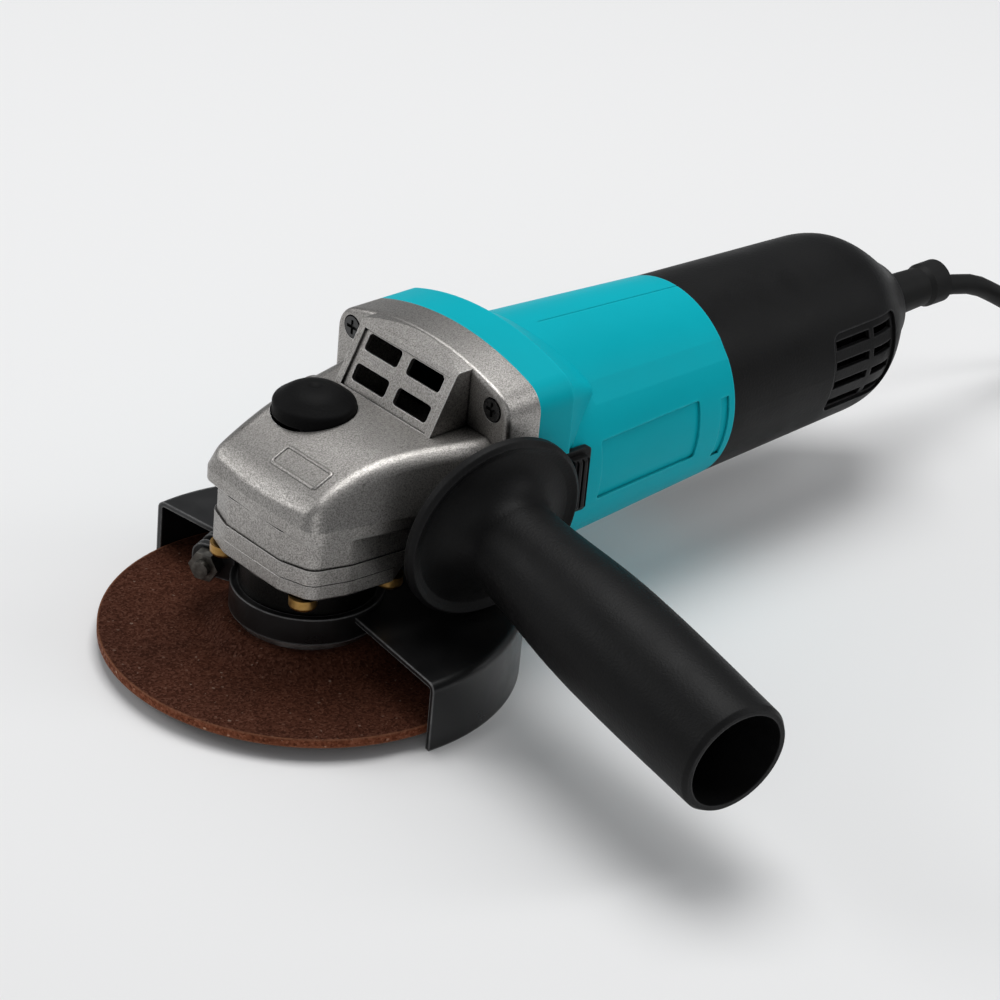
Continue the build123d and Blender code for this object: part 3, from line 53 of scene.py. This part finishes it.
# camera fitted to the photograph: its place in the tool frame, its directions and its lens
CAMERA_AT = (563.492, 645.936, 479.892)
SENSOR_W = 36.0
LENS = 129.6
FAR_CLIP = 20.0
right = Vector((-0.742432, 0.664752, 0.083063))
down = Vector((0.270871, 0.411276, -0.870334))
ahead = Vector((-0.612718, -0.623665, -0.485406))
cam_data = bpy.data.cameras.new("camera")
cam_data.sensor_width = SENSOR_W
cam_data.lens = LENS
cam_data.clip_end = FAR_CLIP
cam = bpy.data.objects.new("camera", cam_data)
bpy.context.collection.objects.link(cam)
place = at(*CAMERA_AT)
cam.matrix_world = Matrix((
    (right.x, -down.x, -ahead.x, place.x),
    (right.y, -down.y, -ahead.y, place.y),
    (right.z, -down.z, -ahead.z, place.z),
    (0, 0, 0, 1),
))
bpy.context.scene.camera = cam


# materials: lengths in metres, a fade is the width of a soft border, a share is what is left of a colour
EDGE_SAMPLES = 4
GAP_SAMPLES = 8
# painted shade inside the body's hollow: what is left of its colour, and the fades at its side and rear
INSIDE_SHADE_SHARE = 0.02
INSIDE_SHADE_FADE = 0.0003
INSIDE_SHADE_REAR_FADE = 0.001
# painted shade under the bearing box: what is left of its colour, and the fade
UNDER_BOX_SHADE_SHARE = 0.03
UNDER_BOX_SHADE_FADE = 0.0008
PLAIN_GRAIN = (1500, 0.1, 0.0001)
# painted shade in corners and gaps: (reach, darkest, span)
PLAIN_CORNER_SHADE = (0.012, 0.35, (0.1, 0.6))


def new_material(name):
    """An empty node material, with its node tree and its shader."""
    mat = bpy.data.materials.new(name)
    mat.use_nodes = True
    tree = mat.node_tree
    return mat, tree, tree.nodes["Principled BSDF"]


def grey(v):
    """A grey of one value."""
    return (v, v, v)


def object_coords(tree):
    """The place on the piece, in metres of the row's frame at rest."""
    return tree.nodes.new("ShaderNodeTexCoord").outputs["Object"]


def noise(tree, scale, detail=4.0, rough=0.6):
    """Noise fixed to the piece."""
    tex = tree.nodes.new("ShaderNodeTexNoise")
    tex.inputs["Scale"].default_value = scale
    tex.inputs["Detail"].default_value = detail
    tex.inputs["Roughness"].default_value = rough
    tree.links.new(object_coords(tree), tex.inputs["Vector"])
    return tex.outputs["Fac"]


def grains(tree, scale):
    """A random value for each small grain, and the distance from its middle."""
    tex = tree.nodes.new("ShaderNodeTexVoronoi")
    tex.inputs["Scale"].default_value = scale
    tree.links.new(object_coords(tree), tex.inputs["Vector"])
    split = tree.nodes.new("ShaderNodeSeparateColor")
    tree.links.new(tex.outputs["Color"], split.inputs["Color"])
    return split.outputs["Red"], tex.outputs["Distance"]


def ramp(tree, source, stops):
    """A colour ramp on a value, its stops as (place, colour)."""
    node = tree.nodes.new("ShaderNodeValToRGB")
    band = node.color_ramp
    band.elements[0].position = stops[0][0]
    band.elements[0].color = (*stops[0][1], 1)
    band.elements[1].position = stops[-1][0]
    band.elements[1].color = (*stops[-1][1], 1)
    for where, colour in stops[1:-1]:
        band.elements.new(where).color = (*colour, 1)
    tree.links.new(source, node.inputs["Fac"])
    return node.outputs["Color"]


def mixed(tree, fac, first, second, kind="MIX"):
    """Two colours mixed by a value."""
    node = tree.nodes.new("ShaderNodeMix")
    node.data_type = "RGBA"
    node.blend_type = kind
    if hasattr(fac, "is_linked"):
        tree.links.new(fac, node.inputs["Factor"])
    else:
        node.inputs["Factor"].default_value = fac
    for socket, colour in ((node.inputs[6], first), (node.inputs[7], second)):
        if hasattr(colour, "is_linked"):
            tree.links.new(colour, socket)
        else:
            socket.default_value = (*colour, 1)
    return node.outputs[2]


def openness(tree, reach, inside=False):
    """How free a spot is within a reach: low in corners, or with inside, low on outer edges."""
    node = tree.nodes.new("ShaderNodeAmbientOcclusion")
    node.samples = GAP_SAMPLES
    node.inside = inside
    node.only_local = inside
    node.inputs["Distance"].default_value = reach
    return node.outputs["AO"]


def edge_wear_and_highlight(tree, width):
    """The normal rounded over edges, and a mask on outer edges, worn unevenly, that makes them bright:
    wear and a painted highlight.
    """
    bevel = tree.nodes.new("ShaderNodeBevel")
    bevel.samples = EDGE_SAMPLES
    bevel.inputs["Radius"].default_value = width
    outer_edge = ramp(tree, openness(tree, width, True), [(0.52, grey(1)), (0.95, grey(0))])
    uneven = ramp(tree, noise(tree, 420, 3.0), [(0.3, grey(0.5)), (0.65, grey(1))])
    return bevel.outputs["Normal"], mixed(tree, 1.0, outer_edge, uneven, "MULTIPLY")


def shade_corners(tree, tint, reach, dark, span):
    """A colour darkened in corners and gaps: painted shade."""
    corner_shade = ramp(tree, openness(tree, reach), [(span[0], grey(dark)), (span[1], grey(1))])
    return mixed(tree, 1.0, tint, corner_shade, "MULTIPLY")


def axis_of(tree, vector, name):
    """One part of a vector."""
    split = tree.nodes.new("ShaderNodeSeparateXYZ")
    tree.links.new(vector, split.inputs["Vector"])
    return split.outputs[name]


def place_between(tree, value, low, high):
    """Where a value lies between two others, from 0 to 1."""
    node = tree.nodes.new("ShaderNodeMapRange")
    node.inputs["From Min"].default_value = low
    node.inputs["From Max"].default_value = high
    tree.links.new(value, node.inputs["Value"])
    return node.outputs["Result"]


def shaded_inside(tree, tint, radius, rear):
    """A colour painted dark as shade within a radius of the motor's axis, in front of a place on it."""
    axis = at(0, 0, 0)
    across = tree.nodes.new("ShaderNodeVectorMath")
    across.operation = "MULTIPLY_ADD"
    across.inputs[1].default_value = (0, 1, 1)
    across.inputs[2].default_value = (0, -axis.y, -axis.z)
    tree.links.new(object_coords(tree), across.inputs[0])
    away = tree.nodes.new("ShaderNodeVectorMath")
    away.operation = "LENGTH"
    tree.links.new(across.outputs["Vector"], away.inputs[0])
    out = place_between(tree, away.outputs["Value"], radius, radius + INSIDE_SHADE_FADE)
    along = axis_of(tree, object_coords(tree), "X")
    front = place_between(tree, along, rear, rear + INSIDE_SHADE_REAR_FADE)
    inner = ramp(tree, out, [(0, grey(INSIDE_SHADE_SHARE)), (1, grey(1))])
    behind = ramp(tree, front, [(0, grey(1)), (1, grey(0))])
    return mixed(tree, 1.0, tint, mixed(tree, 1.0, inner, behind, "LIGHTEN"), "MULTIPLY")


def raised(tree, height, strength, size, normal=None):
    """A normal bent by a height."""
    node = tree.nodes.new("ShaderNodeBump")
    node.inputs["Strength"].default_value = strength
    node.inputs["Distance"].default_value = size
    tree.links.new(height, node.inputs["Height"])
    if normal is not None:
        tree.links.new(normal, node.inputs["Normal"])
    return node.outputs["Normal"]


def surface(name, colours, scale, roughness, metallic=0.0, specular=0.5,
            grain=PLAIN_GRAIN, edge=None, corner_shade=PLAIN_CORNER_SHADE, hollow=None):
    """Colour and roughness in patches, with grain, edges made bright by wear and a painted highlight, and
    painted shade in corners.

    The grain is (scale, strength, height), an edge of wear and painted highlight (width, colour,
    roughness), the painted shade in corners (reach, darkest, span), and the hollow's painted shade
    (radius, rear end).
    """
    mat, tree, shader = new_material(name)
    patches = noise(tree, scale, 5.0)
    tint = ramp(tree, patches, [(0.3, colours[0]), (0.7, colours[1])])
    shine = ramp(tree, patches, [(0.3, grey(roughness[0])), (0.7, grey(roughness[1]))])
    normal = None
    if edge is not None:
        # edges made bright: wear and a painted highlight
        normal, wear_and_highlight = edge_wear_and_highlight(tree, edge[0])
        tint = mixed(tree, wear_and_highlight, tint, edge[1])
        shine = mixed(tree, wear_and_highlight, shine, grey(edge[2]))
    # the hollow's inside painted dark as shade
    if hollow is not None:
        tint = shaded_inside(tree, tint, *hollow)
    # painted shade in corners and gaps
    tree.links.new(shade_corners(tree, tint, *corner_shade), shader.inputs["Base Color"])
    tree.links.new(shine, shader.inputs["Roughness"])
    shader.inputs["Metallic"].default_value = metallic
    shader.inputs["Specular IOR Level"].default_value = specular
    bumps = noise(tree, grain[0], 2.0, 0.5)
    tree.links.new(raised(tree, bumps, grain[1], grain[2], normal), shader.inputs["Normal"])
    return mat


CAST_SCALES = {"tone": 40, "grain": 2300, "pits": 620}
# the head's wall is thin beside its front screws, so edges bright with wear and a painted highlight are
# looked for within a short reach
CAST_EDGE = (0.00028, (0.72, 0.705, 0.685), 0.26)
# painted shade in seams, and in holes and recesses: each (reach, darkest, span)
CAST_SEAM_SHADE = (0.0011, 0.12, (0.5, 0.82))
CAST_HOLE_SHADE = (0.011, 0.03, (0.22, 0.62))


def cast_aluminium(name, shaded_below=None):
    """Blasted castings: fine grain, dark pits, slow changes of tone, edges bright with wear and a painted
    highlight, and painted shade in seams and holes.

    Below a height, if one is given, they are painted dark as shade under the box.
    """
    mat, tree, shader = new_material(name)
    slow = noise(tree, CAST_SCALES["tone"], 3.0)
    tone = ramp(tree, slow, [(0.3, (0.335, 0.32, 0.303)), (0.7, (0.408, 0.393, 0.375))])
    fine = noise(tree, CAST_SCALES["grain"], 3.0, 0.75)
    speckle = ramp(tree, fine, [(0.32, grey(0.42)), (0.68, grey(1.4))])
    tint = mixed(tree, 1.0, tone, speckle, "MULTIPLY")
    pits = ramp(tree, noise(tree, CAST_SCALES["pits"], 4.0, 0.75), [(0.30, grey(0.45)), (0.37, grey(1))])
    tint = mixed(tree, 1.0, tint, pits, "MULTIPLY")
    # edges made bright: wear and a painted highlight
    normal, wear_and_highlight = edge_wear_and_highlight(tree, CAST_EDGE[0])
    tint = mixed(tree, wear_and_highlight, tint, CAST_EDGE[1])
    shine = ramp(tree, fine, [(0.3, grey(0.46)), (0.7, grey(0.34))])
    # painted shade in seams
    tint = shade_corners(tree, tint, *CAST_SEAM_SHADE)
    # painted shade under the box, below a height
    if shaded_below is not None:
        height = axis_of(tree, object_coords(tree), "Z")
        above = place_between(tree, height, shaded_below, shaded_below + UNDER_BOX_SHADE_FADE)
        unshaded = ramp(tree, above, [(0, grey(UNDER_BOX_SHADE_SHARE)), (1, grey(1))])
        tint = mixed(tree, 1.0, tint, unshaded, "MULTIPLY")
    # painted shade in holes and recesses
    tree.links.new(shade_corners(tree, tint, *CAST_HOLE_SHADE), shader.inputs["Base Color"])
    tree.links.new(mixed(tree, wear_and_highlight, shine, grey(CAST_EDGE[2])), shader.inputs["Roughness"])
    shader.inputs["Metallic"].default_value = 1.0
    tree.links.new(raised(tree, fine, 0.4, 0.00018, normal), shader.inputs["Normal"])
    return mat


GRIT_SCALE = 1700
GRIT_PATCHES = 45
GRIT_COLOURS = [
    (0.0, (0.028, 0.0086, 0.0046)),
    (0.45, (0.05, 0.0165, 0.009)),
    (0.8, (0.066, 0.023, 0.013)),
    (0.994, (0.085, 0.034, 0.021)),
    (1.0, (0.16, 0.105, 0.08)),
]
# painted highlight: the lift of the rim's sideways faces; then edges made bright by wear and a painted
# highlight
RIM_HIGHLIGHT = (3.0, 2.8, 2.5)
GRIT_EDGE = (0.0007, (0.24, 0.1, 0.055))


def bonded_grit():
    """The wheel: packed grains in brown resin, a few of them light, a painted highlight on the rim's
    sides, and edges bright with wear and a painted highlight.
    """
    mat, tree, shader = new_material("bonded_grit")
    grain, gap = grains(tree, GRIT_SCALE)
    tint = ramp(tree, grain, GRIT_COLOURS)
    patches = ramp(tree, noise(tree, GRIT_PATCHES, 3.0), [(0.3, grey(0.8)), (0.7, grey(1.12))])
    tint = mixed(tree, 1.0, tint, patches, "MULTIPLY")
    facing = tree.nodes.new("ShaderNodeTexCoord").outputs["Normal"]
    slope = tree.nodes.new("ShaderNodeMath")
    slope.operation = "ABSOLUTE"
    tree.links.new(axis_of(tree, facing, "Z"), slope.inputs[0])
    # painted highlight on the rim: faces that look sideways are made lighter
    rim = ramp(tree, slope.outputs["Value"], [(0.1, grey(1)), (0.4, grey(0))])
    tint = mixed(tree, rim, tint, mixed(tree, 1.0, tint, RIM_HIGHLIGHT, "MULTIPLY"))
    # edges made bright: wear and a painted highlight
    normal, wear_and_highlight = edge_wear_and_highlight(tree, GRIT_EDGE[0])
    tint = mixed(tree, wear_and_highlight, tint, GRIT_EDGE[1])
    tree.links.new(tint, shader.inputs["Base Color"])
    tree.links.new(ramp(tree, grain, [(0.2, grey(0.85)), (0.95, grey(0.5))]), shader.inputs["Roughness"])
    shader.inputs["Specular IOR Level"].default_value = 0.05
    tree.links.new(raised(tree, gap, 0.3, 0.0002, normal), shader.inputs["Normal"])
    return mat


# in millimetres of the tool frame: the body's hollow around the motor's axis, painted dark as shade, and
# the top of the painted shade under the bearing box
HOLLOW_R = 32.2
HOLLOW_REAR = -80
UNDER_BOX_SHADE_TOP = -18.2
# edges made bright, each (width, colour, roughness): wear and a painted highlight
BLACK_WEAR_AND_HIGHLIGHT = (0.0006, (0.028, 0.028, 0.029), 0.36)
BUTTON_WEAR_AND_HIGHLIGHT = (0.0006, (0.016, 0.016, 0.0165), 0.45)
ENAMEL_WEAR_AND_HIGHLIGHT = (0.0006, (0.2, 0.2, 0.2), 0.3)
BLUE_WEAR_AND_HIGHLIGHT = (0.0007, (0.01, 0.52, 0.61), 0.35)
BLACK_GRAIN = (1300, 0.4, 0.0002)
# painted shade in the blue body's corners and gaps: (reach, darkest, span)
BLUE_CORNER_SHADE = (0.026, 0.02, (0.15, 0.5))
MATERIALS = {
    "alu": cast_aluminium("cast_aluminium"),
    "steel": surface("machined_steel", ((0.42, 0.42, 0.42), (0.58, 0.57, 0.56)), 160, (0.26, 0.42),
                     metallic=1.0),
    "black_steel": surface("black_enamel", ((0.004, 0.004, 0.0042), (0.0075, 0.0075, 0.0078)), 90,
                           (0.26, 0.4), specular=0.4, grain=(800, 0.06, 0.0002), edge=ENAMEL_WEAR_AND_HIGHLIGHT),
    "zinc": surface("yellow_zinc", ((0.34, 0.19, 0.05), (0.52, 0.32, 0.11)), 500, (0.26, 0.42),
                    metallic=1.0),
    # the blue body's hollow is painted dark as shade
    "blue": surface("turquoise_plastic", ((0.0, 0.375, 0.45), (0.0, 0.405, 0.485)), 26, (0.40, 0.5),
                    specular=0.06, grain=(2600, 0.09, 0.0001), edge=BLUE_WEAR_AND_HIGHLIGHT, corner_shade=BLUE_CORNER_SHADE,
                    hollow=(HOLLOW_R / 1000, at(HOLLOW_REAR, 0, 0).x)),
    "black": surface("black_plastic", ((0.0035, 0.0035, 0.0036), (0.0065, 0.0065, 0.0067)), 60,
                     (0.42, 0.56), specular=0.13, grain=BLACK_GRAIN, edge=BLACK_WEAR_AND_HIGHLIGHT),
    "white_plastic": surface("pale_plastic", ((0.52, 0.51, 0.47), (0.64, 0.63, 0.59)), 60, (0.4, 0.5),
                             specular=0.4),
    "abrasive": bonded_grit(),
    "iron": surface("sheet_iron", ((0.14, 0.14, 0.145), (0.24, 0.24, 0.245)), 240, (0.45, 0.6),
                    metallic=0.85),
    "copper": surface("copper_wire", ((0.40, 0.13, 0.055), (0.58, 0.23, 0.095)), 320, (0.3, 0.45),
                      metallic=1.0),
    "brass": surface("brass", ((0.5, 0.36, 0.13), (0.64, 0.48, 0.2)), 220, (0.28, 0.4), metallic=1.0),
    "carbon": surface("carbon", ((0.012, 0.012, 0.012), (0.03, 0.03, 0.03)), 600, (0.5, 0.7)),
    "rubber": surface("rubber", ((0.006, 0.006, 0.006), (0.011, 0.011, 0.011)), 90, (0.5, 0.62),
                      specular=0.15, grain=(1400, 0.15, 0.00015)),
    "nickel": surface("nickel", ((0.58, 0.57, 0.55), (0.7, 0.69, 0.67)), 240, (0.14, 0.24), metallic=1.0),
}
DARK_STEEL = surface("dark_steel", ((0.09, 0.085, 0.078), (0.2, 0.19, 0.17)), 400, (0.3, 0.45),
                     metallic=1.0)
FINISHES = {
    # the box's neck below a height is painted dark as shade
    "bearing_box": cast_aluminium("shaded_aluminium", at(0, 0, UNDER_BOX_SHADE_TOP).z),
    "lock_button": surface("button_plastic", ((0.0025, 0.0025, 0.0026), (0.0045, 0.0045, 0.0046)), 60,
                           (0.5, 0.62), specular=0.08, grain=BLACK_GRAIN, edge=BUTTON_WEAR_AND_HIGHLIGHT),
    "housing_screws": surface("black_screw", ((0.006, 0.006, 0.006), (0.014, 0.014, 0.014)), 400,
                              (0.22, 0.34)),
    "clamp_screw": DARK_STEEL,
    "clamp_nut": DARK_STEEL,
}
for part in frame["record"]["subparts"]:
    node = nodes[part["node"]]
    node.data.materials.clear()
    node.data.materials.append(FINISHES.get(part["node"], MATERIALS[part["material_slot"]]))

# raised outline of a bare plate on the head
PLATE_MIDDLE = (10.3, 6.3)
PLATE_HALF = (3.05, 9.3)
PLATE_ROUND = 0.9
PLATE_LINE_R = 0.6
PLATE_SUNK = 0.25
CORNER_STEPS = 4
ABOVE_HEAD = 60
bpy.context.view_layer.update()
outline = []
for corner, (sx, sy) in enumerate(((1, 1), (-1, 1), (-1, -1), (1, -1))):
    for step in range(CORNER_STEPS + 1):
        angle = math.radians(90 * corner + 90 / CORNER_STEPS * step)
        x = sx * (PLATE_HALF[0] - PLATE_ROUND) + PLATE_ROUND * math.cos(angle)
        y = sy * (PLATE_HALF[1] - PLATE_ROUND) + PLATE_ROUND * math.sin(angle)
        outline.append(Vector((PLATE_MIDDLE[0] + x, PLATE_MIDDLE[1] + y)))
places = []
for here, after in zip(outline, outline[1:] + outline[:1]):
    parts = max(1, round((after - here).length))
    places += [here.lerp(after, i / parts) for i in range(parts)]
plate_data = bpy.data.curves.new("plate_outline", "CURVE")
plate_data.dimensions = "3D"
plate_data.bevel_depth = PLATE_LINE_R / 1000
plate_data.bevel_resolution = 3
spline = plate_data.splines.new("POLY")
spline.points.add(len(places) - 1)
spline.use_cyclic_u = True
for point, spot in zip(spline.points, places):
    above = at(spot.x, spot.y, ABOVE_HEAD)
    _, on_head, normal, _ = nodes["gear_housing"].ray_cast(above, (0, 0, -1))
    point.co = (*(on_head - normal * PLATE_SUNK * PLATE_LINE_R / 1000), 1)
plate_data.materials.append(MATERIALS["alu"])
plate = bpy.data.objects.new("plate_outline", plate_data)
bpy.context.collection.objects.link(plate)
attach(plate, "housing")

# cord: out of the strain relief, down to the floor, a tied coil, and back to the plug
CORD_R = 3.25
CORD_W = 2 * CORD_R
COIL_X, COIL_Y, COIL_R = -352.0, 48.0, 36.0
FLOOR_Z = -47.7
LOW, MIDDLE, HIGH = 3.3, 8.93, 14.56
route = [(-208, 0, 0), (-262, 0, 0), (-291.7, 0, -16.5), (-315, 2, -33), (-336, 4.2, -43)]
# each turn of the coil as (radius beyond the coil's middle, height), and where it goes over to the next
TURNS = [
    (CORD_W, LOW), (0, LOW), (-CORD_W, LOW),
    (CORD_R, MIDDLE), (-CORD_R, MIDDLE),
    (-CORD_W, HIGH), (0, HIGH), (CORD_W, HIGH), (CORD_W, HIGH),
]
STEPS = 12
GO_OVER = 7
for i in range((len(TURNS) - 1) * STEPS + STEPS // 4 + 1):
    turn, step = divmod(i, STEPS)
    blend = max(0.0, (step - GO_OVER) / (STEPS - GO_OVER))
    here = TURNS[turn]
    after = TURNS[min(turn + 1, len(TURNS) - 1)]
    radius = COIL_R + here[0] + (after[0] - here[0]) * blend
    height = here[1] + (after[1] - here[1]) * blend
    angle = math.radians(-90 - 360 * i / STEPS)
    x = COIL_X + radius * math.cos(angle)
    y = COIL_Y + radius * math.sin(angle)
    route.append((x, y, FLOOR_Z + height))
PLUG_X = COIL_X - COIL_R - CORD_W
route += [(PLUG_X, COIL_Y + 12, FLOOR_Z + 14), (PLUG_X, COIL_Y + 24, FLOOR_Z + 13)]
cord_data = bpy.data.curves.new("cord", "CURVE")
cord_data.dimensions = "3D"
cord_data.bevel_depth = CORD_R / 1000
cord_data.bevel_resolution = 5
cord_data.use_fill_caps = True
spline = cord_data.splines.new("NURBS")
spline.points.add(len(route) - 1)
for point, spot in zip(spline.points, route):
    point.co = (*at(*spot), 1)
spline.order_u = 3
spline.use_endpoint_u = True
spline.resolution_u = 6
cord_data.materials.append(MATERIALS["rubber"])
cord = bpy.data.objects.new("cord", cord_data)
bpy.context.collection.objects.link(cord)
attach(cord, "housing")
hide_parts("power_cord", "cord_coil")

# floor and light
FLOOR_HALF = 6
FLOOR_GREY = 0.82
FLOOR_ROUGHNESS = 0.7
SKY_COLOUR = (0.95, 0.97, 1.0, 1)
SKY_STRENGTH = 0.24
LIT_SPOT = (0, 0, 0.03)
corners = [(sx * FLOOR_HALF, sy * FLOOR_HALF, 0) for sx, sy in ((-1, -1), (1, -1), (1, 1), (-1, 1))]
mesh = bpy.data.meshes.new("floor")
mesh.from_pydata(corners, [], [(0, 1, 2, 3)])
floor = bpy.data.objects.new("floor", mesh)
bpy.context.collection.objects.link(floor)
floor_mat, _, shader = new_material("floor")
shader.inputs["Base Color"].default_value = (*grey(FLOOR_GREY), 1)
shader.inputs["Roughness"].default_value = FLOOR_ROUGHNESS
mesh.materials.append(floor_mat)

world = bpy.data.worlds.new("world")
world.use_nodes = True
sky = world.node_tree.nodes["Background"]
sky.inputs["Color"].default_value = SKY_COLOUR
sky.inputs["Strength"].default_value = SKY_STRENGTH
bpy.context.scene.world = world


def lamp(name, spot, size, power):
    """A soft area light aimed at the tool."""
    data = bpy.data.lights.new(name, "AREA")
    data.shape = "RECTANGLE"
    data.size, data.size_y = size
    data.energy = power
    obj = bpy.data.objects.new(name, data)
    bpy.context.collection.objects.link(obj)
    obj.location = spot
    obj.rotation_euler = (Vector(LIT_SPOT) - Vector(spot)).to_track_quat("-Z", "Y").to_euler()


lamp("key", (-0.25, -0.35, 1.7), (1.1, 1.1), 20.5)
lamp("fill", (1.5, 1.2, 0.9), (0.9, 0.9), 3.6)
lamp("side", (-0.85, 0.64, 0.9), (0.35, 0.9), 3.6)
lamp("rim", (0.9, -1.2, 0.8), (0.9, 0.5), 5.6)
bpy.context.scene.view_settings.view_transform = "Standard"
